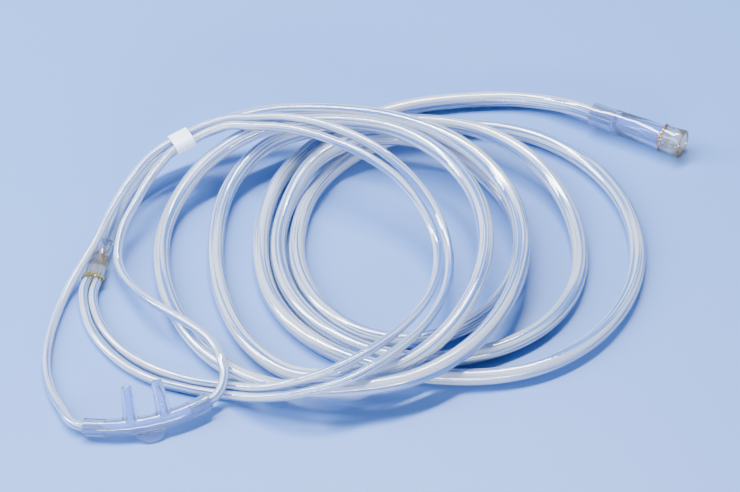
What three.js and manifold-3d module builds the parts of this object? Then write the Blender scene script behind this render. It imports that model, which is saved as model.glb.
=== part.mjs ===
// Nasal oxygen cannula, lying loosely coiled on a level surface. Millimetres, +Z up.
// The origin is on the surface, under the middle of the four fittings.
import * as THREE from "three";
import { mergeVertices } from "three/addons/utils/BufferGeometryUtils.js";
import Module from "manifold-3d";

const wasm = await Module();
wasm.setup();

// Tubes
const SUPPLY_OD = 6.5;
const LARIAT_OD = 3.6;
const PAIR_SPACING = 4.1;
const TUBE_SIDES = 8;
const SEAT_GAP = 0.3;

// Y connector: it lies on the surface and points at HEADING, seen from above
const WYE_FOOT = [-118.5, -7.8, 3.4];
const WYE_HEADING = 79;
const WYE_SOCKET_WIDTH = 8.8;
const WYE_SOCKET_HEIGHT = 6.2;
const WYE_SOCKET_LENGTH = 11;
const WYE_RING_LENGTH = 2.2;
const WYE_RING_PROUD = 0.3;
const WYE_SHOULDER_LENGTH = 3.5;
const WYE_COLLAR_OD = 6.4;
const WYE_COLLAR_LENGTH = 7;
const WYE_NIPPLE_OD = 4.4;
const WYE_NIPPLE_LENGTH = 10.5;

// Slider: an oval sleeve with one oval passage for both thin tubes
const SLIDER_PLACE = [-85.1, 55.6, 19.5];
const SLIDER_HEADING = 28;
const SLIDER_CLIMB = 11;
const SLIDER_LENGTH = 8.4;
const SLIDER_WALL = 0.7;
const SLIDER_CLEARANCE = 0.35;
const SLIDER_TRAVEL = 6;

// Prong piece: a curved tubular body, two prongs and a lip
const FACE_PLACE = [-92.3, -83.8, 4.2];
const FACE_HEADING = 14.4;
const FACE_TILT = 1.5;
const FACE_BODY_OD = 7;
const FACE_BEND_RADIUS = 60;
const FACE_CHORD = 48.5;
const PRONG_SPACING = 13;
const PRONG_BASE_OD = 5.4;
const PRONG_TIP_OD = 4.2;
const PRONG_LENGTH = 15.5;
const PRONG_BORE = 2.6;
const PRONG_BORE_DEPTH = 13;
const PRONG_RISE = 50;
const PRONG_TOE_IN = 4;
const LIP_WIDTH = 14;
const LIP_DEPTH = 7.2;
const LIP_THICKNESS = 0.8;
const LIP_DROOP = 28;

// Funnel connector: lathe profile along its axis, from the tube end to the mouth
const FUNNEL_PLACE = [83.1, 86.4, 6.3];
const FUNNEL_HEADING = -27.3;
const FUNNEL_LENGTH = 41;
const FUNNEL_SOCKET_OD = 9.8;
const FUNNEL_SOCKET_LENGTH = 10;
const FUNNEL_BARREL_OD = 10.4;
const FUNNEL_BEAD_OD = 12;
const FUNNEL_BEAD_WIDTH = 1.6;
const FUNNEL_BEAD_FROM_MOUTH = 9;
const FUNNEL_MOUTH_OD = 12;
const FUNNEL_MOUTH_BORE = 9.4;
const FUNNEL_BORE = 6.4;
const FUNNEL_BORE_DEPTH = 26;

const ROUND = 28;
const CLEAR_PVC = 0xe6eef8;
const MILKY_PVC = 0xdce8f7;
const AMBER_CLEAR = 0xe9dcc0;

function plastic(color, roughness) {
  return new THREE.MeshStandardMaterial({ color, roughness, metalness: 0 });
}

// Unit vector that points at a heading in the plan, climbing from the surface.
function pointing(heading, climb = 0) {
  const turn = THREE.MathUtils.degToRad(heading);
  const rise = THREE.MathUtils.degToRad(climb);
  return new THREE.Vector3(
    Math.cos(turn) * Math.cos(rise),
    Math.sin(turn) * Math.cos(rise),
    Math.sin(rise),
  );
}

// Point on a straight line: so far along it and so far to its left.
function beside(place, heading, climb, along, left) {
  return new THREE.Vector3(...place)
    .addScaledVector(pointing(heading, climb), along)
    .addScaledVector(pointing(heading + 90), left);
}

function solidOf(geometry) {
  const bare = geometry.clone();
  bare.deleteAttribute("normal");
  bare.deleteAttribute("uv");
  const merged = mergeVertices(bare, 1e-4);
  return new wasm.Manifold(
    new wasm.Mesh({
      numProp: 3,
      vertProperties: new Float32Array(merged.attributes.position.array),
      triVerts: new Uint32Array(merged.index.array),
    }),
  );
}

function geometryOf(solid) {
  const mesh = solid.getMesh();
  const geometry = new THREE.BufferGeometry();
  geometry.setAttribute("position", new THREE.BufferAttribute(mesh.vertProperties, 3));
  geometry.setIndex(new THREE.BufferAttribute(mesh.triVerts, 1));
  geometry.computeVertexNormals();
  return geometry;
}

// Body of revolution along +X, from rows of [distance, half height, half width].
function turned(rows, sides = ROUND) {
  const profile = rows.map(([along, high]) => new THREE.Vector2(high, along));
  const geometry = new THREE.LatheGeometry(profile, sides);
  const at = geometry.getAttribute("position");
  for (let i = 0; i < at.count; i++) {
    const [, high, wide = high] = rows[i % rows.length];
    if (high > 0) at.setX(i, (at.getX(i) * wide) / high);
  }
  geometry.rotateZ(-Math.PI / 2);
  return geometry;
}

// A tube's route: its steps fall on the curve's own points, not at equal lengths.
class Route extends THREE.CatmullRomCurve3 {
  constructor(points) {
    super(points, false, "centripetal");
  }
  getPointAt(u, target) {
    return this.getPoint(u, target);
  }
  getTangentAt(u, target) {
    return this.getTangent(u, target);
  }
}

function circle(diameter, sides) {
  const outline = new THREE.Shape();
  for (let i = 0; i < sides; i++) {
    const turn = (2 * Math.PI * i) / sides;
    const x = (diameter / 2) * Math.cos(turn);
    const y = (diameter / 2) * Math.sin(turn);
    if (i === 0) outline.moveTo(x, y);
    else outline.lineTo(x, y);
  }
  outline.closePath();
  return outline;
}

function tube(route, diameter, steps, sides = TUBE_SIDES) {
  return new THREE.ExtrudeGeometry(circle(diameter, sides), {
    extrudePath: route,
    steps,
  });
}

// Supply tube: five loose turns, as quarter ovals between the places where the tube runs along
// X (top and bottom of a turn) and along Y (its sides), in turn. Each row is x, y, height, how
// square the next quarter is, and the share of that quarter over which the height changes.
const COIL_ROWS = [
  [-30.5, 75, 18.4, 2, 0.4, 1],
  [51.5, 9.5, 11.5, 2, 0.2, 0.8],
  [-18.5, -72.5, 11.2, 2, 0, 0.4],
  [-92, 10.5, 3.6, 2.2, 0.1, 0.8],
  [-23.5, 67, 19.6, 2.1, 0.2, 0.8],
  [36.5, 4, 17, 2, 0.2, 0.8],
  [-18.5, -65.5, 10.8, 2, 0, 0.4],
  [-70.5, 12, 3.6, 2.7, 0.1, 0.6],
  [11.5, 75.5, 11.6, 2, 0.3, 1],
  [74.5, 8, 3.6, 2.1, 0, 1],
  [12, -50.3, 3.6, 1.95, 0, 1],
  [-45.7, 10.5, 3.6, 2, 0.1, 0.6],
  [-3, 66.5, 11.6, 2, 0.12, 0.75],
  [51, 16, 3.6, 2, 0, 1],
  [4.5, -40.3, 3.6, 2, 0, 1],
  [-38.2, 12, 3.6, 2.1, 0, 1],
  [32.5, 81, 3.6, 2, 0, 1],
  [97.5, 11, 3.6, 2, 0, 1],
  [31, -59.5, 3.6, 2.3, 0, 1],
  [-52.5, 13.5, 3.6, 2.2, 0, 1],
  [45.5, 98.5, 3.6, 2, 0, 1],
];
const QUARTER_STEPS = 4;

function coil(rows) {
  const points = [];
  rows.slice(0, -1).forEach(([x, y, z, square, from, to], row) => {
    const [nextX, nextY, nextZ] = rows[row + 1];
    for (let i = 0; i < QUARTER_STEPS; i++) {
      const share = i / QUARTER_STEPS;
      const turn = (share * Math.PI) / 2;
      const run = Math.sin(turn) ** (2 / square);
      const drift = 1 - Math.cos(turn) ** (2 / square);
      const [alongX, alongY] = row % 2 === 0 ? [run, drift] : [drift, run];
      points.push(
        new THREE.Vector3(
          x + (nextX - x) * alongX,
          y + (nextY - y) * alongY,
          z + (nextZ - z) * THREE.MathUtils.smoothstep(share, from, to),
        ),
      );
    }
  });
  points.push(new THREE.Vector3(...rows.at(-1).slice(0, 3)));
  return points;
}

const vectors = (rows) => rows.map((row) => new THREE.Vector3(...row));

const WYE_BODY_LENGTH = WYE_SOCKET_LENGTH + WYE_SHOULDER_LENGTH + WYE_COLLAR_LENGTH;
const WYE_TIP = WYE_BODY_LENGTH + WYE_NIPPLE_LENGTH;
const wye = (along, left = 0) => beside(WYE_FOOT, WYE_HEADING, 0, along, left);
const funnel = (along) => beside(FUNNEL_PLACE, FUNNEL_HEADING, 0, along, 0);
const slide = (along, left = 0) =>
  beside(SLIDER_PLACE, SLIDER_HEADING, SLIDER_CLIMB, along, left);

const supplyRoute = new Route([
  wye(WYE_TIP + SEAT_GAP),
  wye(WYE_TIP + 4),
  ...vectors([
    [-109.6, 35.3, 4],
    [-106.3, 42, 5.5],
    [-101, 49.2, 7.9],
    [-92.3, 57.6, 10.9],
    [-78, 66.6, 14.2],
    [-55, 73.5, 17.6],
  ]),
  ...coil(COIL_ROWS),
  ...vectors([
    [64, 95.7, 4.4],
  ]),
  funnel(-8),
  funnel(-SEAT_GAP),
]);
const SUPPLY_STEPS = supplyRoute.points.length - 1;

// Prong piece: its own frame has X along the chord of the bend and Y towards the bend's centre.
const face = new THREE.Group();
face.position.set(...FACE_PLACE);
face.rotation.set(
  0,
  -THREE.MathUtils.degToRad(FACE_TILT),
  THREE.MathUtils.degToRad(FACE_HEADING),
  "ZYX",
);
face.updateMatrixWorld(true);
const FACE_HALF_ANGLE = Math.asin(FACE_CHORD / 2 / FACE_BEND_RADIUS);

// Point on the body's axis, or straight out past its end: side is -1 for left and 1 for right.
function facePoint(side, past) {
  const local = new THREE.Vector3(
    side * FACE_BEND_RADIUS * Math.sin(FACE_HALF_ANGLE),
    FACE_BEND_RADIUS * (1 - Math.cos(FACE_HALF_ANGLE)),
    0,
  );
  local.x += side * past * Math.cos(FACE_HALF_ANGLE);
  local.y += past * Math.sin(FACE_HALF_ANGLE);
  return face.localToWorld(local);
}

// Thin tubes, from the Y connector round the coil, through the slider and to the prong piece.
const HALF_PAIR = PAIR_SPACING / 2;
const straightStretch = (side) => {
  const past = SLIDER_LENGTH / 2 + 0.2;
  return [SLIDER_TRAVEL + past, past, -past].map((along) => slide(along, side * HALF_PAIR));
};

const leftRoute = new Route([
  wye(-SEAT_GAP, HALF_PAIR),
  wye(-6, HALF_PAIR),
  ...vectors([
    [-121, -20.5, 2.8],
    [-117, -33.5, 2],
    [-107, -48, 2],
    [-94, -58.5, 2],
    [-77.5, -64.5, 2],
    [-65.5, -67.2, 2.2],
    [-50, -74.5, 8.5],
    [-35.5, -77, 13.5],
    [-16.5, -73, 17.5],
    [1, -58, 17.2],
    [14, -38, 14],
    [21.5, -16, 12],
    [21.5, 4, 13],
    [16, 20.5, 17.5],
    [5, 35, 22.8],
    [-11, 48, 26.6],
    [-29, 58.5, 26.6],
    [-43.5, 62.8, 26],
    [-57.5, 64.3, 24.3],
    [-67.1, 65, 23.1],
  ]),
  ...straightStretch(1),
  ...vectors([
    [-96.6, 50, 17.2],
    [-99.6, 46.5, 16.3],
    [-102.7, 41.8, 15.6],
    [-106, 35.8, 15],
    [-111.1, 24.8, 13.3],
    [-114.9, 15.4, 11.4],
    [-118.2, 7.3, 9.4],
    [-121.6, 0.4, 7.3],
    [-125.3, -6.6, 4.6],
    [-128.3, -13.3, 2.7],
    [-131.8, -27.3, 2],
    [-133.6, -42.2, 2],
    [-133.5, -51.2, 2],
    [-132, -60, 2],
    [-129.3, -68.2, 2.2],
    [-126, -74.6, 2.7],
    [-122.9, -80.8, 3.2],
    [-120.4, -83.5, 3.4],
  ]),
  facePoint(-1, 0.9),
  facePoint(-1, SEAT_GAP),
]);

const rightRoute = new Route([
  wye(-SEAT_GAP, -HALF_PAIR),
  wye(-6, -HALF_PAIR),
  ...vectors([
    [-117, -20.8, 2.8],
    [-113, -31.5, 2],
    [-104, -44, 2],
    [-92, -53.5, 2],
    [-77, -60, 2],
    [-64.5, -63, 2.8],
    [-48.5, -70.3, 9.5],
    [-28, -70, 16.5],
    [-11, -60, 17.5],
    [2.5, -45.5, 16],
    [12.5, -28, 13.5],
    [17.2, -10.5, 12],
    [17, 5.5, 13],
    [11.5, 19, 17.5],
    [1.5, 31, 22.8],
    [-14, 42, 26.6],
    [-31, 51.8, 26.6],
    [-44.5, 56.6, 26],
    [-57.5, 59.4, 24.3],
    [-66.8, 60.9, 23.1],
  ]),
  ...straightStretch(-1),
  ...vectors([
    [-93.6, 43.9, 17.2],
    [-96.6, 38.9, 16.2],
    [-99.4, 33.2, 15],
    [-103, 25, 13.2],
    [-106.7, 16.8, 10.6],
    [-108.6, 8.9, 7.8],
    [-108.7, 1.3, 5.9],
    [-106.3, -6.3, 5.4],
    [-102.3, -13.5, 6],
    [-96.7, -21.5, 8],
    [-90.5, -28, 9.5],
    [-79.6, -36.9, 10.1],
    [-73.2, -42.8, 10.2],
    [-68.6, -48.7, 10],
    [-65.7, -56, 9.3],
    [-64.6, -60.2, 8.2],
    [-64.7, -64.2, 7.2],
    [-65.7, -68.1, 6.2],
  ]),
  facePoint(1, 2.5),
  facePoint(1, SEAT_GAP),
]);

const LARIAT_STEPS_PER_POINT = 2;

function supplyTube() {
  const mesh = new THREE.Mesh(
    tube(supplyRoute, SUPPLY_OD, SUPPLY_STEPS),
    plastic(CLEAR_PVC, 0.12),
  );
  mesh.name = "supply_tube";
  return mesh;
}

function lariatTube(name, route) {
  const steps = LARIAT_STEPS_PER_POINT * (route.points.length - 1);
  const mesh = new THREE.Mesh(tube(route, LARIAT_OD, steps), plastic(CLEAR_PVC, 0.15));
  mesh.name = name;
  return mesh;
}

// One clear moulding: oval socket with a ring round its mouth, shoulder, collar and nipple.
function yConnector() {
  const high = WYE_SOCKET_HEIGHT / 2;
  const wide = WYE_SOCKET_WIDTH / 2;
  const collar = WYE_COLLAR_OD / 2;
  const nipple = WYE_NIPPLE_OD / 2;
  const rim = 0.4;
  const geometry = turned([
    [0, 0],
    [0, high - rim, wide - rim],
    [rim, high, wide],
    [WYE_RING_LENGTH, high, wide + WYE_RING_PROUD],
    [WYE_RING_LENGTH + rim, high, wide],
    [WYE_SOCKET_LENGTH, high, wide],
    [WYE_SOCKET_LENGTH + WYE_SHOULDER_LENGTH, collar],
    [WYE_BODY_LENGTH, collar],
    [WYE_BODY_LENGTH, nipple],
    [WYE_TIP - rim, nipple],
    [WYE_TIP, nipple - rim],
    [WYE_TIP, 0],
  ]);
  const mesh = new THREE.Mesh(geometry, plastic(AMBER_CLEAR, 0.12));
  mesh.name = "y_connector";
  mesh.position.set(...WYE_FOOT);
  mesh.rotation.z = THREE.MathUtils.degToRad(WYE_HEADING);
  return mesh;
}

function stadium(Outline, spread, radius) {
  const outline = new Outline();
  outline.absarc(spread, 0, radius, -Math.PI / 2, Math.PI / 2);
  outline.absarc(-spread, 0, radius, Math.PI / 2, (3 * Math.PI) / 2);
  outline.closePath();
  return outline;
}

function slider() {
  const passage = LARIAT_OD / 2 + SLIDER_CLEARANCE;
  const section = stadium(THREE.Shape, HALF_PAIR, passage + SLIDER_WALL);
  section.holes.push(stadium(THREE.Path, HALF_PAIR, passage));
  const geometry = new THREE.ExtrudeGeometry(section, {
    depth: SLIDER_LENGTH,
    bevelEnabled: false,
    curveSegments: 10,
  });
  geometry.translate(0, 0, -SLIDER_LENGTH / 2);
  const mesh = new THREE.Mesh(geometry, plastic(MILKY_PVC, 0.35));
  mesh.name = "slider";
  mesh.position.set(...SLIDER_PLACE);
  const along = pointing(SLIDER_HEADING, SLIDER_CLIMB);
  const across = pointing(SLIDER_HEADING + 90);
  const upward = new THREE.Vector3().crossVectors(along, across);
  mesh.quaternion.setFromRotationMatrix(
    new THREE.Matrix4().makeBasis(across, upward, along),
  );
  return mesh;
}

function prong(side) {
  const outer = turned([
    [0, 0],
    [0, PRONG_BASE_OD / 2],
    [PRONG_LENGTH - 0.8, PRONG_TIP_OD / 2],
    [PRONG_LENGTH, PRONG_TIP_OD / 2 - 0.5],
    [PRONG_LENGTH, 0],
  ], 20);
  const bore = turned([
    [PRONG_LENGTH - PRONG_BORE_DEPTH, 0],
    [PRONG_LENGTH - PRONG_BORE_DEPTH, PRONG_BORE / 2],
    [PRONG_LENGTH + 1, PRONG_BORE / 2],
    [PRONG_LENGTH + 1, 0],
  ], 16);
  const bend = PRONG_SPACING ** 2 / 8 / FACE_BEND_RADIUS;
  for (const geometry of [outer, bore]) {
    geometry.rotateY(-THREE.MathUtils.degToRad(PRONG_RISE));
    geometry.rotateZ(THREE.MathUtils.degToRad(90 + side * PRONG_TOE_IN));
    geometry.translate((side * PRONG_SPACING) / 2, bend, 0);
  }
  return [solidOf(outer), solidOf(bore)];
}

function lip() {
  const outline = new THREE.Shape();
  outline.absellipse(0, 0, LIP_WIDTH / 2, LIP_DEPTH, Math.PI, 2 * Math.PI);
  outline.closePath();
  const geometry = new THREE.ExtrudeGeometry(outline, {
    depth: LIP_THICKNESS,
    bevelEnabled: false,
    curveSegments: 24,
  });
  geometry.translate(0, 0, -LIP_THICKNESS / 2);
  geometry.rotateX(THREE.MathUtils.degToRad(LIP_DROOP));
  return solidOf(geometry);
}

class Bend extends THREE.Curve {
  getPoint(t, target = new THREE.Vector3()) {
    const turn = (2 * t - 1) * FACE_HALF_ANGLE;
    return target.set(
      FACE_BEND_RADIUS * Math.sin(turn),
      FACE_BEND_RADIUS * (1 - Math.cos(turn)),
      0,
    );
  }
}

function nasalProngPiece() {
  let solid = solidOf(tube(new Bend(), FACE_BODY_OD, 18, 20)).add(lip());
  const prongs = [-1, 1].map(prong);
  for (const [outer] of prongs) solid = solid.add(outer);
  for (const [, bore] of prongs) solid = solid.subtract(bore);
  const mesh = new THREE.Mesh(geometryOf(solid), plastic(CLEAR_PVC, 0.12));
  mesh.name = "nasal_prong_piece";
  return mesh;
}

// One clear moulding: the tube's socket, a barrel, a bead and a flared mouth.
function funnelConnector() {
  const step = 0.3;
  const bead = FUNNEL_LENGTH - FUNNEL_BEAD_FROM_MOUTH;
  const geometry = turned([
    [0, 0],
    [0, FUNNEL_SOCKET_OD / 2],
    [FUNNEL_SOCKET_LENGTH, FUNNEL_SOCKET_OD / 2],
    [FUNNEL_SOCKET_LENGTH + step, FUNNEL_BARREL_OD / 2],
    [bead - FUNNEL_BEAD_WIDTH / 2, FUNNEL_BARREL_OD / 2],
    [bead, FUNNEL_BEAD_OD / 2],
    [bead + FUNNEL_BEAD_WIDTH / 2, FUNNEL_BARREL_OD / 2 + step],
    [FUNNEL_LENGTH - 1, FUNNEL_MOUTH_OD / 2],
    [FUNNEL_LENGTH, FUNNEL_MOUTH_OD / 2],
    [FUNNEL_LENGTH, FUNNEL_MOUTH_BORE / 2],
    [FUNNEL_LENGTH - FUNNEL_BORE_DEPTH, FUNNEL_BORE / 2],
    [FUNNEL_LENGTH - FUNNEL_BORE_DEPTH, 0],
  ]);
  const mesh = new THREE.Mesh(geometry, plastic(AMBER_CLEAR, 0.1));
  mesh.name = "funnel_connector";
  mesh.position.set(...FUNNEL_PLACE);
  mesh.rotation.z = THREE.MathUtils.degToRad(FUNNEL_HEADING);
  return mesh;
}

face.add(nasalProngPiece());

const cannula = new THREE.Group();
cannula.add(
  face,
  lariatTube("lariat_tube_left", leftRoute),
  lariatTube("lariat_tube_right", rightRoute),
  slider(),
  yConnector(),
  supplyTube(),
  funnelConnector(),
);

export default cannula;
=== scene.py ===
import math

import bpy
import numpy as np
from mathutils import Matrix, Vector


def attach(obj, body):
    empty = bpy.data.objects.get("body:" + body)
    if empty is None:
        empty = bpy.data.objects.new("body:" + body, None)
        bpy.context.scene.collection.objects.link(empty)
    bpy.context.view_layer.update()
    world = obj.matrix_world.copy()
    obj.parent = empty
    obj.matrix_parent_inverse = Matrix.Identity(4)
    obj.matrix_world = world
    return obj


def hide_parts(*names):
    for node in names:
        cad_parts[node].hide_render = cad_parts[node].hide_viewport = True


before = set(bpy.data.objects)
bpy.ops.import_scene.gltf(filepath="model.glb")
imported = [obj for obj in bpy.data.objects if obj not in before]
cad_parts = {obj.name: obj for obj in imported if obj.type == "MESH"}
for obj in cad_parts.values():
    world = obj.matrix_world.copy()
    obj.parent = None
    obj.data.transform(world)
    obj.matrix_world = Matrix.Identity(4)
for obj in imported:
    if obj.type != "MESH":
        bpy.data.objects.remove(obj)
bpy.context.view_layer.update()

MM = 0.001

# Camera: a long lens about 1.25 m away, looking down at the coil at 45 degrees, as for a product
# picture of something lying on a table. The picture is 740 pixels wide.
PICTURE_CENTRE = Vector((-9 * MM, 15 * MM, 0))
CAMERA_RISE = math.radians(45)
CAMERA_DISTANCE = 1.25
FOCAL_PIXELS = 3125
PICTURE_WIDTH = 740

camera = bpy.data.objects.new("picture_camera", bpy.data.cameras.new("picture_camera"))
camera.data.sensor_fit = "HORIZONTAL"
camera.data.sensor_width = 36
camera.data.lens = camera.data.sensor_width * FOCAL_PIXELS / PICTURE_WIDTH
camera.location = PICTURE_CENTRE + CAMERA_DISTANCE * Vector(
    (0, -math.cos(CAMERA_RISE), math.sin(CAMERA_RISE))
)
camera.rotation_euler = (math.pi / 2 - CAMERA_RISE, 0, 0)
bpy.context.collection.objects.link(camera)
bpy.context.scene.camera = camera


# Supply tube: clear soft PVC, extruded with a star-shaped lumen, which can't be shut by a kink.
# It is pushed over the Y connector's nipple, lies in five loose turns, and ends in the funnel.
SUPPLY_OD = 6.5
SUPPLY_LUMEN = 4.5
STAR_RIDGES = 6
STAR_DEPTH = 0.35

WYE_FOOT = (-118.5, -7.8, 3.4)
WYE_HEADING = 79
WYE_BODY_LENGTH = 21.5
WYE_TIP = 32
FUNNEL_PLACE = (83.1, 86.4, 6.3)
FUNNEL_HEADING = -27.3
SEAT_GAP = 0.3
QUARTER_STEPS = 4

# x, y, height, how square the next quarter turn is, and where in it the height changes
COIL_ROWS = [
    (-30.5, 75, 18.4, 2, 0.4, 1),
    (51.5, 9.5, 11.5, 2, 0.2, 0.8),
    (-18.5, -72.5, 11.2, 2, 0, 0.4),
    (-92, 10.5, 3.6, 2.2, 0.1, 0.8),
    (-23.5, 67, 19.6, 2.1, 0.2, 0.8),
    (36.5, 4, 17, 2, 0.2, 0.8),
    (-18.5, -65.5, 10.8, 2, 0, 0.4),
    (-70.5, 12, 3.6, 2.7, 0.1, 0.6),
    (11.5, 75.5, 11.6, 2, 0.3, 1),
    (74.5, 8, 3.6, 2.1, 0, 1),
    (12, -50.3, 3.6, 1.95, 0, 1),
    (-45.7, 10.5, 3.6, 2, 0.1, 0.6),
    (-3, 66.5, 11.6, 2, 0.12, 0.75),
    (51, 16, 3.6, 2, 0, 1),
    (4.5, -40.3, 3.6, 2, 0, 1),
    (-38.2, 12, 3.6, 2.1, 0, 1),
    (32.5, 81, 3.6, 2, 0, 1),
    (97.5, 11, 3.6, 2, 0, 1),
    (31, -59.5, 3.6, 2.3, 0, 1),
    (-52.5, 13.5, 3.6, 2.2, 0, 1),
    (45.5, 98.5, 3.6, 2, 0, 1),
]


def pointing(heading, climb=0):
    turn, rise = math.radians(heading), math.radians(climb)
    return Vector(
        (math.cos(turn) * math.cos(rise), math.sin(turn) * math.cos(rise), math.sin(rise))
    )


def beside(place, heading, climb, along, left=0):
    return Vector(place) + pointing(heading, climb) * along + pointing(heading + 90) * left


def coil(rows):
    points = []
    for row, (here, there) in enumerate(zip(rows, rows[1:])):
        x, y, z, square, start, stop = here
        for step in range(QUARTER_STEPS):
            share = step / QUARTER_STEPS
            run = math.sin(share * math.pi / 2) ** (2 / square)
            drift = 1 - math.cos(share * math.pi / 2) ** (2 / square)
            along_x, along_y = (run, drift) if row % 2 == 0 else (drift, run)
            climb = min(1, max(0, (share - start) / (stop - start)))
            climb = climb * climb * (3 - 2 * climb)
            points.append(
                Vector(
                    (
                        x + (there[0] - x) * along_x,
                        y + (there[1] - y) * along_y,
                        z + (there[2] - z) * climb,
                    )
                )
            )
    return points + [Vector(rows[-1][:3])]


def smooth_line(points, spacing):
    """A centripetal curve through the points, in metres, at equal spacing in millimetres."""
    knots = np.array([tuple(p) for p in points], float)
    knots = np.vstack([2 * knots[0] - knots[1], knots, 2 * knots[-1] - knots[-2]])
    share = np.linspace(0, 1, 24, endpoint=False)[:, None]
    pieces = []
    for a, b, c, d in zip(knots, knots[1:], knots[2:], knots[3:]):
        ab, bc, cd = (np.linalg.norm(q - p) ** 0.5 for p, q in ((a, b), (b, c), (c, d)))
        leave = ((b - a) / ab - (c - a) / (ab + bc) + (c - b) / bc) * bc
        reach = ((c - b) / bc - (d - b) / (bc + cd) + (d - c) / cd) * bc
        pieces.append(
            b
            + leave * share
            + (3 * (c - b) - 2 * leave - reach) * share**2
            + (2 * (b - c) + leave + reach) * share**3
        )
    dense = np.vstack([*pieces, knots[-2]])
    length = np.r_[0, np.cumsum(np.linalg.norm(np.diff(dense, axis=0), axis=1))]
    even = np.linspace(0, length[-1], int(length[-1] / spacing) + 1)
    return np.stack([np.interp(even, length, dense[:, i]) for i in range(3)], 1) * MM


def hollow_tube(name, line, spacing, outer, lumen):
    """Skin and lumen along a line, joined by a ring at each end; radii in mm at each angle, and
    for the lumen also at each place. Its points keep where they are on the tube, for patterns."""
    sides, count = len(outer), len(line)
    ahead = np.gradient(line, axis=0)
    ahead /= np.linalg.norm(ahead, axis=1)[:, None]
    across = np.zeros_like(line)
    side = np.cross(ahead[0], (0, 0, 1))
    for i, direction in enumerate(ahead):
        side = side - direction * (side @ direction)
        side /= np.linalg.norm(side)
        across[i] = side
    upward = np.cross(ahead, across)
    angle = np.arange(sides) * 2 * math.pi / sides
    walls, places = [], []
    for radius in (np.broadcast_to(outer, lumen.shape), lumen):
        flat = np.stack([radius * np.cos(angle), radius * np.sin(angle)], 2)
        walls.append(
            line[:, None]
            + flat[:, :, :1] * MM * across[:, None]
            + flat[:, :, 1:] * MM * upward[:, None]
        )
        distance = np.broadcast_to(spacing * np.arange(count)[:, None, None], (count, sides, 1))
        places.append(np.concatenate([flat, distance], 2))
    ring, k = (g.ravel() for g in np.meshgrid(range(count - 1), range(sides), indexing="ij"))
    beside_k = (k + 1) % sides
    skin = np.stack(
        [
            ring * sides + k,
            ring * sides + beside_k,
            (ring + 1) * sides + beside_k,
            (ring + 1) * sides + k,
        ],
        1,
    )
    inside = skin[:, ::-1] + count * sides
    near, nearby = np.arange(sides), (np.arange(sides) + 1) % sides
    within = count * sides
    far = (count - 1) * sides
    start = np.stack([near, near + within, nearby + within, nearby], 1)
    end = np.stack([near, nearby, nearby + within, near + within], 1) + far
    mesh = bpy.data.meshes.new(name)
    points = np.vstack([w.reshape(-1, 3) for w in walls])
    mesh.from_pydata(points.tolist(), [], np.vstack([skin, inside, start, end]).tolist())
    lay = mesh.attributes.new("on_tube_mm", "FLOAT_VECTOR", "POINT")
    lay.data.foreach_set("vector", np.vstack([p.reshape(-1, 3) for p in places]).ravel())
    mesh.polygons.foreach_set("use_smooth", [True] * len(mesh.polygons))
    mesh.set_sharp_from_angle(angle=math.radians(70))
    mesh.update()
    piece = bpy.data.objects.new(name, mesh)
    bpy.context.collection.objects.link(piece)
    return piece


def linear(colour):
    """An sRGB hex colour as Blender's linear colour."""
    parts = [int(colour[i : i + 2], 16) / 255 for i in (1, 3, 5)]
    return (*(c / 12.92 if c <= 0.04045 else ((c + 0.055) / 1.055) ** 2.4 for c in parts), 1)


def add(material, kind, settings=None, **inputs):
    """A node with its settings; an input is a value or another node's output."""
    tree = material.node_tree
    node = tree.nodes.new(kind)
    for name, value in (settings or {}).items():
        setattr(node, name, value)
    for name, value in inputs.items():
        socket = node.inputs[int(name[1:])] if name[1:].isdigit() else node.inputs[name.replace("_", " ")]
        if isinstance(value, bpy.types.NodeSocket):
            tree.links.new(value, socket)
        else:
            socket.default_value = value
    return node


def new_material(name):
    material = bpy.data.materials.new(name)
    material.use_nodes = True
    material.node_tree.nodes.clear()
    return material


def finish_with(material, shader):
    output = add(material, "ShaderNodeOutputMaterial")
    material.node_tree.links.new(shader.outputs[0], output.inputs["Surface"])
    return material


def extruded_clear_pvc(name, clear, painted_streak, line_width, line_length):
    """Plasticised PVC tube. It is glassy but a little milky, so it shows white; pale blue lines painted
    along it are a painted reflection of the blue floor seen through its walls; a line's size is in mm."""
    material = new_material(name)
    on_tube = add(material, "ShaderNodeAttribute", {"attribute_name": "on_tube_mm"})
    lengthwise = add(
        material,
        "ShaderNodeMapping",
        Vector=on_tube.outputs["Vector"],
        Scale=(1 / line_width, 1 / line_width, 1 / line_length),
    )
    # Painted reflection: this noise paints pale blue streaks along the tube in place of the blue floor
    # seen through its walls. It also raises fine ridges in the surface.
    painted_streak_and_ridge_noise = add(
        material, "ShaderNodeTexNoise", Vector=lengthwise.outputs[0], Scale=1.0, Detail=2.0
    )
    tone = add(material, "ShaderNodeValToRGB", Fac=painted_streak_and_ridge_noise.outputs[0])
    tone.color_ramp.elements[0].position = 0.43
    tone.color_ramp.elements[0].color = linear(painted_streak)
    tone.color_ramp.elements[1].position = 0.53
    tone.color_ramp.elements[1].color = linear(clear)
    bump = add(
        material, "ShaderNodeBump", Height=painted_streak_and_ridge_noise.outputs[0], Strength=0.3, Distance=0.3 * MM
    )
    shader = add(
        material,
        "ShaderNodeBsdfPrincipled",
        Base_Color=tone.outputs[0],
        Roughness=0.09,
        IOR=1.53,
        Transmission_Weight=0.66,
        Coat_Weight=0.8,
        Coat_Roughness=0.03,
        Normal=bump.outputs[0],
    )
    return finish_with(material, shader)


def wye(along, left=0):
    return beside(WYE_FOOT, WYE_HEADING, 0, along, left)


def funnel(along):
    return beside(FUNNEL_PLACE, FUNNEL_HEADING, 0, along)


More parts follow.
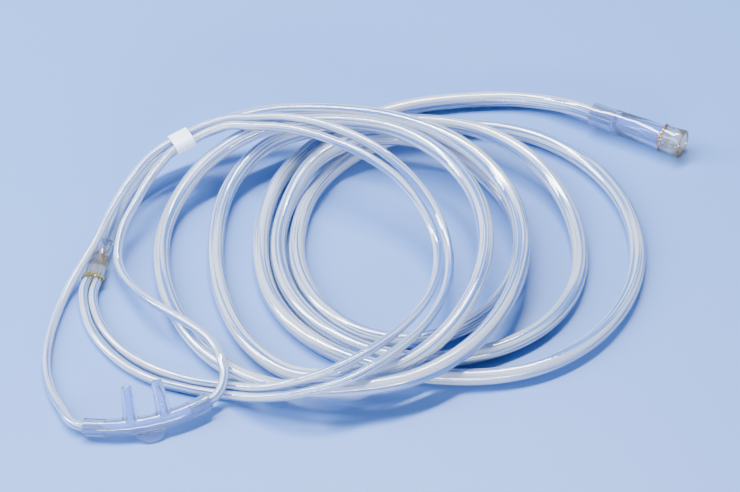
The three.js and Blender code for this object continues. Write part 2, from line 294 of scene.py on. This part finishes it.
supply_points = [
    wye(WYE_BODY_LENGTH + SEAT_GAP),
    wye(WYE_TIP + SEAT_GAP),
    wye(WYE_TIP + 4),
    (-109.6, 35.3, 4),
    (-106.3, 42, 5.5),
    (-101, 49.2, 7.9),
    (-92.3, 57.6, 10.9),
    (-78, 66.6, 14.2),
    (-55, 73.5, 17.6),
    *coil(COIL_ROWS),
    (64, 95.7, 4.4),
    funnel(-8),
    funnel(0),
    funnel(9.5),
]
SUPPLY_RING_SPACING = 2.6
supply_line = smooth_line(supply_points, SUPPLY_RING_SPACING)
SUPPLY_SIDES = 6 * STAR_RIDGES
around = np.arange(SUPPLY_SIDES) * 2 * math.pi / SUPPLY_SIDES
past_nipple = SUPPLY_RING_SPACING * np.arange(len(supply_line)) - (WYE_TIP - WYE_BODY_LENGTH)
star = STAR_DEPTH * np.clip(past_nipple / 4, 0, 1)
supply_tube = hollow_tube(
    "supply_tube_clear",
    supply_line,
    SUPPLY_RING_SPACING,
    np.full(SUPPLY_SIDES, SUPPLY_OD / 2),
    SUPPLY_LUMEN / 2 + star[:, None] * np.cos(STAR_RIDGES * around),
)
# The pale blue streak colour below is a painted reflection of the blue floor seen through the tubes.
PAINTED_STREAK_WIDTH = 0.85
PAINTED_STREAK_LENGTH = 60
clear_tube = extruded_clear_pvc(
    "extruded_clear_pvc", "#EAF3FF", "#6C9CE6", PAINTED_STREAK_WIDTH, PAINTED_STREAK_LENGTH
)
supply_tube.data.materials.append(clear_tube)
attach(supply_tube, "root")
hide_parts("supply_tube")


# Lariat tubes: two thin clear PVC tubes, from the Y connector's oval socket round the coil and
# through the slider, then apart to the two ends of the prong piece.
LARIAT_OD = 3.6
LARIAT_LUMEN = 2.3
HALF_PAIR = 2.05
SLIDER_PLACE = (-85.1, 55.6, 19.5)
SLIDER_HEADING = 28
SLIDER_CLIMB = 11
SLIDER_TRAVEL = 6
SLIDER_LENGTH = 8.4

FACE_PLACE = (-92.3, -83.8, 4.2)
FACE_HEADING = 14.4
FACE_TILT = 1.5
FACE_BEND_RADIUS = 60
FACE_CHORD = 48.5
FACE_HALF_ANGLE = math.asin(FACE_CHORD / 2 / FACE_BEND_RADIUS)
face_frame = (
    Matrix.Translation(FACE_PLACE)
    @ Matrix.Rotation(math.radians(FACE_HEADING), 4, "Z")
    @ Matrix.Rotation(-math.radians(FACE_TILT), 4, "Y")
)


def face_point(side, past):
    """On the prong piece's bent axis inside its end, or straight out past its end."""
    turn = FACE_HALF_ANGLE + min(past, 0) / FACE_BEND_RADIUS
    out = max(past, 0)
    return face_frame @ Vector(
        (
            side * (FACE_BEND_RADIUS * math.sin(turn) + out * math.cos(turn)),
            FACE_BEND_RADIUS * (1 - math.cos(turn)) + out * math.sin(turn),
            0,
        )
    )


def straight_stretch(side):
    """The straight run that the slider needs, from the far end of its travel."""
    past = SLIDER_LENGTH / 2 + 0.2
    return [
        beside(SLIDER_PLACE, SLIDER_HEADING, SLIDER_CLIMB, along, side * HALF_PAIR)
        for along in (SLIDER_TRAVEL + past, past, -past)
    ]


left_points = [
    wye(7, HALF_PAIR),
    wye(-SEAT_GAP, HALF_PAIR),
    wye(-6, HALF_PAIR),
    (-121, -20.5, 2.8),
    (-117, -33.5, 2),
    (-107, -48, 2),
    (-94, -58.5, 2),
    (-77.5, -64.5, 2),
    (-65.5, -67.2, 2.2),
    (-50, -74.5, 8.5),
    (-35.5, -77, 13.5),
    (-16.5, -73, 17.5),
    (1, -58, 17.2),
    (14, -38, 14),
    (21.5, -16, 12),
    (21.5, 4, 13),
    (16, 20.5, 17.5),
    (5, 35, 22.8),
    (-11, 48, 26.6),
    (-29, 58.5, 26.6),
    (-43.5, 62.8, 26),
    (-57.5, 64.3, 24.3),
    (-67.1, 65, 23.1),
    *straight_stretch(1),
    (-96.6, 50, 17.2),
    (-99.6, 46.5, 16.3),
    (-102.7, 41.8, 15.6),
    (-106, 35.8, 15),
    (-111.1, 24.8, 13.3),
    (-114.9, 15.4, 11.4),
    (-118.2, 7.3, 9.4),
    (-121.6, 0.4, 7.3),
    (-125.3, -6.6, 4.6),
    (-128.3, -13.3, 2.7),
    (-131.8, -27.3, 2),
    (-133.6, -42.2, 2),
    (-133.5, -51.2, 2),
    (-132, -60, 2),
    (-129.3, -68.2, 2.2),
    (-126, -74.6, 2.7),
    (-122.9, -80.8, 3.2),
    (-120.4, -83.5, 3.4),
    *(face_point(-1, past) for past in (SEAT_GAP, -4, -8)),
]
right_points = [
    wye(7, -HALF_PAIR),
    wye(-SEAT_GAP, -HALF_PAIR),
    wye(-6, -HALF_PAIR),
    (-117, -20.8, 2.8),
    (-113, -31.5, 2),
    (-104, -44, 2),
    (-92, -53.5, 2),
    (-77, -60, 2),
    (-64.5, -63, 2.8),
    (-48.5, -70.3, 9.5),
    (-28, -70, 16.5),
    (-11, -60, 17.5),
    (2.5, -45.5, 16),
    (12.5, -28, 13.5),
    (17.2, -10.5, 12),
    (17, 5.5, 13),
    (11.5, 19, 17.5),
    (1.5, 31, 22.8),
    (-14, 42, 26.6),
    (-31, 51.8, 26.6),
    (-44.5, 56.6, 26),
    (-57.5, 59.4, 24.3),
    (-66.8, 60.9, 23.1),
    *straight_stretch(-1),
    (-93.6, 43.9, 17.2),
    (-96.6, 38.9, 16.2),
    (-99.4, 33.2, 15),
    (-103, 25, 13.2),
    (-106.7, 16.8, 10.6),
    (-108.6, 8.9, 7.8),
    (-108.7, 1.3, 5.9),
    (-106.3, -6.3, 5.4),
    (-102.3, -13.5, 6),
    (-96.7, -21.5, 8),
    (-90.5, -28, 9.5),
    (-79.6, -36.9, 10.1),
    (-73.2, -42.8, 10.2),
    (-68.6, -48.7, 10),
    (-65.7, -56, 9.3),
    (-64.6, -60.2, 8.2),
    (-64.7, -64.2, 7.2),
    (-65.7, -68.1, 6.2),
    *(face_point(1, past) for past in (2.5, SEAT_GAP, -4, -8)),
]
LARIAT_SIDES = 24
LARIAT_RING_SPACING = 1.6
for side_name, points in (("left", left_points), ("right", right_points)):
    line = smooth_line(points, LARIAT_RING_SPACING)
    lariat = hollow_tube(
        f"lariat_tube_{side_name}_clear",
        line,
        LARIAT_RING_SPACING,
        np.full(LARIAT_SIDES, LARIAT_OD / 2),
        np.full((len(line), LARIAT_SIDES), LARIAT_LUMEN / 2),
    )
    lariat.data.materials.append(clear_tube)
    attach(lariat, "root")
    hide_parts(f"lariat_tube_{side_name}")


# Y connector: one clear PVC moulding. The two thin tubes are solvent-bonded side by side in its
# oval socket, which has a thickened mouth, and the supply tube is pushed over its nipple.
WYE_SOCKET_HEIGHT = 6.2
WYE_SOCKET_WIDTH = 8.8
WYE_SOCKET_LENGTH = 11
WYE_SHOULDER_LENGTH = 3.5
WYE_RING_LENGTH = 2.2
WYE_RING_PROUD = 0.3
WYE_COLLAR_OD = 6.4
WYE_NIPPLE_OD = 4.4
WYE_BORE = 2.6
WYE_POCKET_HEIGHT = 4.9
WYE_POCKET_WIDTH = 8.3
WYE_POCKET_DEPTH = 7.6


def turned(name, rows, sides=48):
    """A hollow or solid shape round +Z from rows of distance, half height and half width in mm.
    Rows that run back to the first one close its wall."""
    bpy.ops.object.select_all(action="DESELECT")
    bpy.ops.mesh.primitive_circle_add(vertices=sides, radius=MM, fill_type="NOTHING")
    piece = bpy.context.object
    piece.name = piece.data.name = name
    bpy.ops.object.mode_set(mode="EDIT")
    bpy.ops.mesh.select_all(action="SELECT")
    along, high, wide = 0, 1, 1
    for i, (distance, *halves) in enumerate(rows):
        step = (0, 0, (distance - along) * MM)
        if i == 0:
            bpy.ops.transform.translate(value=step)
        else:
            bpy.ops.mesh.extrude_edges_move(TRANSFORM_OT_translate={"value": step})
        bpy.ops.transform.resize(
            value=(halves[-1] / wide, halves[0] / high, 1),
            center_override=(0, 0, distance * MM),
        )
        along, high, wide = distance, halves[0], halves[-1]
    if rows[0] == rows[-1]:
        bpy.ops.mesh.select_all(action="SELECT")
        bpy.ops.mesh.remove_doubles(threshold=0.001 * MM)
    else:
        bpy.ops.mesh.select_all(action="SELECT")
        bpy.ops.mesh.region_to_loop()
        bpy.ops.mesh.edge_face_add()
    bpy.ops.mesh.select_all(action="SELECT")
    bpy.ops.mesh.normals_make_consistent(inside=False)
    bpy.ops.object.mode_set(mode="OBJECT")
    return piece


def modify(piece, kind, **settings):
    """Adds a modifier to a piece and applies it."""
    bpy.ops.object.select_all(action="DESELECT")
    piece.select_set(True)
    bpy.context.view_layer.objects.active = piece
    bpy.ops.object.modifier_add(type=kind)
    modifier = piece.modifiers[-1]
    for name, value in settings.items():
        setattr(modifier, name, value)
    bpy.ops.object.modifier_apply(modifier=modifier.name)


def settle(piece, placing, crease=40):
    """Puts a piece in its place, with its object left at the origin, and smooths its shading."""
    bpy.ops.object.select_all(action="DESELECT")
    piece.select_set(True)
    bpy.context.view_layer.objects.active = piece
    piece.matrix_world = placing @ piece.matrix_world
    bpy.ops.object.transform_apply(location=True, rotation=True, scale=True)
    bpy.ops.object.shade_smooth_by_angle(angle=math.radians(crease))


def lying_along(place, heading):
    """Turns +Z to a level heading, with X pointing left and Y up, and moves to a place in mm."""
    left, ahead = pointing(heading + 90), pointing(heading)
    turn = Matrix((left, Vector((0, 0, 1)), ahead)).transposed().to_4x4()
    return Matrix.Translation(Vector(place) * MM) @ turn


def bonded_clear_pvc(name, place, heading, length, stops):
    """Firm PVC from a polished mould, bonded with solvent cement. It is as clear as glass, with white
    glints, and is tinted in amber and pale blue bands with wavy edges along its length; stops are in mm."""
    material = new_material(name)
    position = add(material, "ShaderNodeTexCoord")
    local = add(
        material,
        "ShaderNodeMapping",
        {"vector_type": "TEXTURE"},
        Vector=position.outputs["Object"],
        Location=Vector(place) * MM,
        Rotation=(0, 0, math.radians(heading)),
        Scale=(MM, MM, MM),
    )
    # The edges of a band swing to and fro by about 1 mm in waves of about 3 mm.
    wander = add(
        material, "ShaderNodeTexNoise", Vector=local.outputs[0], Scale=0.35, Detail=2.0
    )
    along = add(material, "ShaderNodeSeparateXYZ", Vector=local.outputs[0])
    uneven = add(
        material,
        "ShaderNodeMath",
        {"operation": "MULTIPLY_ADD"},
        _0=wander.outputs[0],
        _1=2.4,
        _2=along.outputs["X"],
    )
    share = add(
        material,
        "ShaderNodeMapRange",
        Value=uneven.outputs[0],
        From_Min=1.2,
        From_Max=length + 1.2,
    )
    # The ramp tints the piece in amber and pale blue bands at the given stops along it.
    band_colours = add(material, "ShaderNodeValToRGB", Fac=share.outputs[0])
    for i, (distance, colour) in enumerate(stops):
        if i < 2:
            element = band_colours.color_ramp.elements[i]
            element.position = distance / length
        else:
            element = band_colours.color_ramp.elements.new(distance / length)
        element.color = linear(colour)
    shader = add(
        material,
        "ShaderNodeBsdfPrincipled",
        Base_Color=band_colours.outputs[0],
        Roughness=0.04,
        IOR=1.53,
        Transmission_Weight=0.96,
    )
    return finish_with(material, shader)


rim = 0.4
high, wide = WYE_SOCKET_HEIGHT / 2, WYE_SOCKET_WIDTH / 2
pocket = (WYE_POCKET_HEIGHT / 2, WYE_POCKET_WIDTH / 2)
y_connector = turned(
    "y_connector_clear",
    [
        (0, *pocket),
        (0, high - rim, wide - rim + 0.2),
        (rim, high, wide + 0.1),
        (WYE_RING_LENGTH, high, wide + WYE_RING_PROUD),
        (WYE_RING_LENGTH + rim, high - 0.1, wide),
        (WYE_SOCKET_LENGTH, high - 0.1, wide - 0.1),
        (WYE_SOCKET_LENGTH + WYE_SHOULDER_LENGTH, WYE_COLLAR_OD / 2 - 0.1),
        (WYE_SOCKET_LENGTH + WYE_SHOULDER_LENGTH + 0.4, WYE_COLLAR_OD / 2),
        (WYE_BODY_LENGTH, WYE_COLLAR_OD / 2),
        (WYE_BODY_LENGTH, WYE_NIPPLE_OD / 2),
        (WYE_TIP - rim, WYE_NIPPLE_OD / 2),
        (WYE_TIP, WYE_NIPPLE_OD / 2 - rim),
        (WYE_TIP, WYE_BORE / 2),
        (WYE_SOCKET_LENGTH + 1.5, WYE_BORE / 2),
        (WYE_POCKET_DEPTH, pocket[0] - 0.6, pocket[1] - 0.6),
        (WYE_POCKET_DEPTH, *pocket),
        (0, *pocket),
    ],
)
modify(y_connector, "BEVEL", width=0.15 * MM, segments=2, limit_method="ANGLE", angle_limit=0.6)
settle(y_connector, lying_along(WYE_FOOT, WYE_HEADING))
y_connector.data.materials.append(
    bonded_clear_pvc(
        "moulded_clear_pvc_with_amber_socket_bands",
        WYE_FOOT,
        WYE_HEADING,
        WYE_TIP,
        # Amber at the socket's mouth ring and at the shoulder, near white elsewhere.
        [
            (0, "#FFE78E"),
            (WYE_TIP, "#ECF3FF"),
            (2.2, "#FFEFB8"),
            (3.4, "#F2F7FF"),
            (10, "#FFFAEC"),
            (12.5, "#FFDDBE"),
            (15, "#FFEBB8"),
            (17.5, "#F0F6FF"),
        ],
    )
)
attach(y_connector, "root")
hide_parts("y_connector")


# Slider: a short oval sleeve cut from milky soft PVC. Both thin tubes pass through it side by
# side, and it grips them lightly, so that it stays where the wearer pushes it.
SLIDER_WALL = 0.7
SLIDER_CLEARANCE = 0.35

bpy.ops.object.select_all(action="DESELECT")
bpy.ops.mesh.primitive_circle_add(
    vertices=40,
    radius=(LARIAT_OD / 2 + SLIDER_CLEARANCE + SLIDER_WALL) * MM,
    fill_type="NGON",
    rotation=(0, 0, math.pi / 40),
)
slider = bpy.context.object
slider.name = slider.data.name = "slider_milky_sleeve"
bpy.ops.object.transform_apply(rotation=True)
bpy.context.tool_settings.mesh_select_mode = (True, False, False)
for side in (-1, 1):
    bpy.ops.object.mode_set(mode="EDIT")
    bpy.ops.mesh.select_all(action="DESELECT")
    bpy.ops.object.mode_set(mode="OBJECT")
    for vertex in slider.data.vertices:
        vertex.select = vertex.co.x * side > 0
    bpy.ops.object.mode_set(mode="EDIT")
    bpy.ops.transform.translate(value=(side * HALF_PAIR * MM, 0, 0))
    bpy.ops.object.mode_set(mode="OBJECT")
bpy.ops.object.mode_set(mode="EDIT")
bpy.ops.mesh.select_all(action="SELECT")
bpy.ops.transform.translate(value=(0, 0, -SLIDER_LENGTH / 2 * MM))
bpy.ops.mesh.extrude_region_move(TRANSFORM_OT_translate={"value": (0, 0, SLIDER_LENGTH * MM)})
bpy.ops.mesh.select_all(action="SELECT")
bpy.ops.mesh.normals_make_consistent(inside=False)
bpy.ops.mesh.select_all(action="DESELECT")
bpy.ops.object.mode_set(mode="OBJECT")
bpy.context.tool_settings.mesh_select_mode = (False, False, True)
for face in slider.data.polygons:
    face.select = abs(face.normal.z) > 0.9
bpy.ops.object.mode_set(mode="EDIT")
bpy.ops.mesh.inset(thickness=SLIDER_WALL * MM)
bpy.ops.mesh.bridge_edge_loops()
bpy.ops.mesh.select_all(action="SELECT")
bpy.ops.mesh.normals_make_consistent(inside=False)
bpy.ops.object.mode_set(mode="OBJECT")
modify(slider, "BEVEL", width=0.3 * MM, segments=3, limit_method="ANGLE", angle_limit=0.9)
slide_ahead = pointing(SLIDER_HEADING, SLIDER_CLIMB)
slide_left = pointing(SLIDER_HEADING + 90)
slide_turn = Matrix((slide_left, slide_ahead.cross(slide_left), slide_ahead)).transposed()
settle(slider, Matrix.Translation(Vector(SLIDER_PLACE) * MM) @ slide_turn.to_4x4())

# Milky PVC, extruded and cut to length: light enters it and comes out soft, so it glows a cool
# white with faint clouds, under a satin skin.
MILKY_CLOUD = 2.2
milky = new_material("milky_cut_pvc_sleeve")
milky_place = add(milky, "ShaderNodeTexCoord")
milky_cloud = add(
    milky,
    "ShaderNodeTexNoise",
    Vector=milky_place.outputs["Object"],
    Scale=1 / (MILKY_CLOUD * MM),
    Detail=3.0,
)
milky_tone = add(milky, "ShaderNodeValToRGB", Fac=milky_cloud.outputs[0])
milky_tone.color_ramp.elements[0].color = linear("#BED3F3")
milky_tone.color_ramp.elements[1].color = linear("#E4EEFF")
milky_bump = add(
    milky, "ShaderNodeBump", Height=milky_cloud.outputs[0], Strength=0.15, Distance=0.1 * MM
)
milky_shader = add(
    milky,
    "ShaderNodeBsdfPrincipled",
    Base_Color=milky_tone.outputs[0],
    Roughness=0.32,
    IOR=1.5,
    Subsurface_Weight=0.5,
    Subsurface_Radius=(1.0, 1.0, 1.1),
    Subsurface_Scale=0.8 * MM,
    Normal=milky_bump.outputs[0],
)
slider.data.materials.append(finish_with(milky, milky_shader))
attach(slider, "slider")
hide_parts("slider")


# Prong piece: one soft clear PVC moulding. Its curved body has a socket in each end for a thin
# tube and a wider lumen between them, which opens into two hollow prongs; a thin lip hangs below.
FACE_BODY_OD = 7
FACE_LUMEN = 4.8
FACE_SOCKET_DEPTH = 8.3
PRONG_SPACING = 13
PRONG_BASE_OD = 5.8
PRONG_TIP_OD = 4.2
PRONG_LENGTH = 15.5
PRONG_BORE = 2.7
PRONG_RISE = 50
PRONG_TOE_IN = 4
LIP_WIDTH = 14
LIP_DEPTH = 7.2
LIP_THICKNESS = 0.8
LIP_DROOP = 28


def bent_rod(name, diameter, half_angle, steps=48):
    """A rod on the body's bent axis, both ways from its middle."""
    bpy.ops.object.select_all(action="DESELECT")
    bpy.ops.mesh.primitive_circle_add(
        vertices=48,
        radius=diameter / 2 * MM,
        fill_type="NGON",
        location=Vector(
            (
                -FACE_BEND_RADIUS * math.sin(half_angle),
                FACE_BEND_RADIUS * (1 - math.cos(half_angle)),
                0,
            )
        )
        * MM,
        rotation=(0, math.pi / 2, -half_angle),
    )
    rod = bpy.context.object
    rod.name = name
    bpy.ops.object.transform_apply(location=True, rotation=True)
    bpy.ops.object.mode_set(mode="EDIT")
    bpy.ops.mesh.select_all(action="SELECT")
    bpy.ops.mesh.spin(
        steps=steps,
        angle=-2 * half_angle,
        center=(0, FACE_BEND_RADIUS * MM, 0),
        axis=(0, 0, 1),
    )
    bpy.ops.mesh.select_all(action="SELECT")
    bpy.ops.mesh.normals_make_consistent(inside=False)
    bpy.ops.object.mode_set(mode="OBJECT")
    return rod


def cut_or_join(piece, other, operation):
    modify(piece, "BOOLEAN", operation=operation, object=other, solver="EXACT")
    bpy.data.objects.remove(other)


prong_piece = bent_rod("nasal_prong_piece_clear", FACE_BODY_OD, FACE_HALF_ANGLE)
modify(prong_piece, "BEVEL", width=0.6 * MM, segments=4, limit_method="ANGLE", angle_limit=0.9)
bores = []
for side in (-1, 1):
    placing = (
        Matrix.Translation(
            Vector((side * PRONG_SPACING / 2, PRONG_SPACING**2 / 8 / FACE_BEND_RADIUS, 0)) * MM
        )
        @ Matrix.Rotation(math.radians(90 + side * PRONG_TOE_IN), 4, "Z")
        @ Matrix.Rotation(math.radians(90 - PRONG_RISE), 4, "Y")
    )
    prong = turned(
        "prong",
        [
            (0, PRONG_BASE_OD / 2 + 0.2),
            (4, PRONG_BASE_OD / 2),
            (7, PRONG_BASE_OD / 2 - 0.3),
            (12, PRONG_TIP_OD / 2 + 0.12),
            (14.4, PRONG_TIP_OD / 2),
            (15.1, PRONG_TIP_OD / 2 - 0.12),
            (15.4, PRONG_TIP_OD / 2 - 0.32),
            (PRONG_LENGTH, PRONG_TIP_OD / 2 - 0.6),
        ],
    )
    settle(prong, placing)
    cut_or_join(prong_piece, prong, "UNION")
    bore = turned("bore", [(0, PRONG_BORE / 2), (PRONG_LENGTH + 2, PRONG_BORE / 2)])
    settle(bore, placing)
    bores.append(bore)

bpy.ops.object.select_all(action="DESELECT")
bpy.ops.mesh.primitive_circle_add(vertices=64, radius=MM, fill_type="NGON")
lip = bpy.context.object
lip.scale = (LIP_WIDTH / 2, LIP_DEPTH, 1)
bpy.ops.object.transform_apply(scale=True)
bpy.ops.object.mode_set(mode="EDIT")
bpy.ops.mesh.select_all(action="SELECT")
bpy.ops.transform.translate(value=(0, 0, -LIP_THICKNESS / 2 * MM))
bpy.ops.mesh.extrude_region_move(TRANSFORM_OT_translate={"value": (0, 0, LIP_THICKNESS * MM)})
bpy.ops.mesh.select_all(action="SELECT")
bpy.ops.mesh.bisect(
    plane_co=(0, 0.5 * MM, 0), plane_no=(0, 1, 0), use_fill=True, clear_outer=True
)
bpy.ops.mesh.select_all(action="SELECT")
bpy.ops.mesh.normals_make_consistent(inside=False)
bpy.ops.object.mode_set(mode="OBJECT")
settle(lip, Matrix.Rotation(math.radians(LIP_DROOP), 4, "X"))
cut_or_join(prong_piece, lip, "UNION")

sockets = bent_rod("sockets", LARIAT_OD + 0.12, FACE_HALF_ANGLE + 0.03)
cut_or_join(prong_piece, sockets, "DIFFERENCE")
lumen_half_angle = FACE_HALF_ANGLE - FACE_SOCKET_DEPTH / FACE_BEND_RADIUS
lumen = bent_rod("lumen", FACE_LUMEN, lumen_half_angle)
cut_or_join(prong_piece, lumen, "DIFFERENCE")
for bore in bores:
    cut_or_join(prong_piece, bore, "DIFFERENCE")
modify(prong_piece, "REMESH", mode="VOXEL", voxel_size=0.26 * MM, use_smooth_shade=True)
modify(prong_piece, "SMOOTH", factor=0.5, iterations=5)
settle(
    prong_piece,
    Matrix.Translation(face_frame.translation * MM) @ face_frame.to_3x3().to_4x4(),
    crease=60,
)

# Soft clear PVC from a polished mould: it shows the floor through it, a little bent and blue,
# with sharp white glints along its edges and its lumen.
SOFT_WAVE = 6.25
soft_clear = new_material("moulded_soft_clear_pvc")
soft_place = add(soft_clear, "ShaderNodeTexCoord")
soft_cloud = add(
    soft_clear,
    "ShaderNodeTexNoise",
    Vector=soft_place.outputs["Object"],
    Scale=1 / (SOFT_WAVE * MM),
    Detail=2.0,
)
soft_tone = add(soft_clear, "ShaderNodeValToRGB", Fac=soft_cloud.outputs[0])
soft_tone.color_ramp.elements[0].color = linear("#B9D2F8")
soft_tone.color_ramp.elements[1].color = linear("#DCE9FF")
soft_bump = add(
    soft_clear, "ShaderNodeBump", Height=soft_cloud.outputs[0], Strength=0.1, Distance=0.4 * MM
)
soft_shader = add(
    soft_clear,
    "ShaderNodeBsdfPrincipled",
    Base_Color=soft_tone.outputs[0],
    Roughness=0.06,
    IOR=1.53,
    Transmission_Weight=0.95,
    Normal=soft_bump.outputs[0],
)
prong_piece.data.materials.append(finish_with(soft_clear, soft_shader))
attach(prong_piece, "root")
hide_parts("nasal_prong_piece")


# Funnel connector: one clear firm PVC moulding that pushes onto an oxygen outlet's taper. The
# supply tube is bonded into its narrow end; a bead and a flared mouth stiffen the other.
FUNNEL_LENGTH = 41
FUNNEL_SOCKET_OD = 9.8
FUNNEL_SOCKET_DEPTH = 10
FUNNEL_BARREL_OD = 10.4
FUNNEL_BEAD_OD = 12
FUNNEL_BEAD_WIDTH = 1.6
FUNNEL_BEAD_PLACE = 32
FUNNEL_MOUTH_OD = 12
FUNNEL_MOUTH_BORE = 9.4
FUNNEL_CHAMBER = 7.2

funnel_connector = turned(
    "funnel_connector_clear",
    [
        (0, SUPPLY_OD / 2 + 0.05),
        (0, FUNNEL_SOCKET_OD / 2 - 0.4),
        (0.5, FUNNEL_SOCKET_OD / 2),
        (FUNNEL_SOCKET_DEPTH, FUNNEL_SOCKET_OD / 2 + 0.08),
        (20, FUNNEL_BARREL_OD / 2 - 0.05),
        (FUNNEL_BEAD_PLACE - FUNNEL_BEAD_WIDTH / 2, FUNNEL_BARREL_OD / 2 + 0.1),
        (FUNNEL_BEAD_PLACE - 0.35, FUNNEL_BEAD_OD / 2 - 0.05),
        (FUNNEL_BEAD_PLACE + 0.35, FUNNEL_BEAD_OD / 2 - 0.05),
        (FUNNEL_BEAD_PLACE + FUNNEL_BEAD_WIDTH / 2, FUNNEL_BARREL_OD / 2 + 0.25),
        (37, FUNNEL_MOUTH_OD / 2 - 0.25),
        (FUNNEL_LENGTH - 0.8, FUNNEL_MOUTH_OD / 2),
        (FUNNEL_LENGTH, FUNNEL_MOUTH_OD / 2 - 0.3),
        (FUNNEL_LENGTH, FUNNEL_MOUTH_BORE / 2 + 0.2),
        (FUNNEL_LENGTH - 0.6, FUNNEL_MOUTH_BORE / 2),
        (FUNNEL_BEAD_PLACE + 0.5, FUNNEL_MOUTH_BORE / 2 - 0.3),
        (FUNNEL_BEAD_PLACE - 2, FUNNEL_CHAMBER / 2 + 0.15),
        (FUNNEL_SOCKET_DEPTH + 0.8, FUNNEL_CHAMBER / 2),
        (FUNNEL_SOCKET_DEPTH + 0.3, FUNNEL_CHAMBER / 2 - 0.3),
        (FUNNEL_SOCKET_DEPTH + 0.3, 2.6),
        (FUNNEL_SOCKET_DEPTH, 2.6),
        (FUNNEL_SOCKET_DEPTH, SUPPLY_OD / 2 + 0.05),
        (0, SUPPLY_OD / 2 + 0.05),
    ],
    sides=64,
)
modify(
    funnel_connector, "BEVEL", width=0.12 * MM, segments=2, limit_method="ANGLE", angle_limit=0.6
)
settle(funnel_connector, lying_along(FUNNEL_PLACE, FUNNEL_HEADING))
funnel_connector.data.materials.append(
    bonded_clear_pvc(
        "moulded_clear_pvc_with_amber_mouth_bands",
        FUNNEL_PLACE,
        FUNNEL_HEADING,
        FUNNEL_LENGTH,
        # Pale blue along the barrel, amber at the bead and at the mouth's rim.
        [
            (0, "#FFF3E2"),
            (FUNNEL_LENGTH, "#FFE2A8"),
            (1.2, "#D2E3FF"),
            (30.8, "#CCDFFF"),
            (31.6, "#FFBC68"),
            (32.6, "#FFCE8A"),
            (33.4, "#F2F7FF"),
            (37, "#F8FAFF"),
            (39.5, "#FFEFCC"),
        ],
    )
)
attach(funnel_connector, "root")
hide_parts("funnel_connector")


# Floor and light: a plain pale blue table top with a satin surface, under three long soft
# lamps. Each draws its own white line along the tubes.
FLOOR_COLOUR = "#5279BE"
bpy.ops.mesh.primitive_plane_add(size=6, location=(0, 0, 0))
floor = bpy.context.object
floor.name = "floor"
# Satin lacquer: it spreads the lamps' reflections, so that the table stays one even pale blue.
table_top = new_material("satin_lacquered_table_top")
floor_shader = add(
    table_top,
    "ShaderNodeBsdfPrincipled",
    Base_Color=linear(FLOOR_COLOUR),
    Roughness=0.42,
    IOR=1.45,
)
floor.data.materials.append(finish_with(table_top, floor_shader))


def softbox(name, place, size, watts):
    """A white lamp in metres, turned to the middle of the part."""
    lamp = bpy.data.lights.new(name, "AREA")
    lamp.shape = "RECTANGLE"
    lamp.size, lamp.size_y = size
    lamp.energy = watts
    box = bpy.data.objects.new(name, lamp)
    box.location = place
    box.rotation_euler = (-Vector(place)).to_track_quat("-Z", "Y").to_euler()
    bpy.context.collection.objects.link(box)


softbox("back_softbox", (-0.3, 0.5, 1.45), (1.4, 0.2), 84)
softbox("left_softbox", (-1.05, 0.1, 0.75), (0.25, 0.9), 42)
softbox("front_softbox", (0.2, -1.2, 0.4), (1.2, 0.14), 30)
world = bpy.data.worlds.new("studio")
world.use_nodes = True
world.node_tree.nodes["Background"].inputs["Color"].default_value = linear("#D3E0F5")
world.node_tree.nodes["Background"].inputs["Strength"].default_value = 0.45
bpy.context.scene.world = world
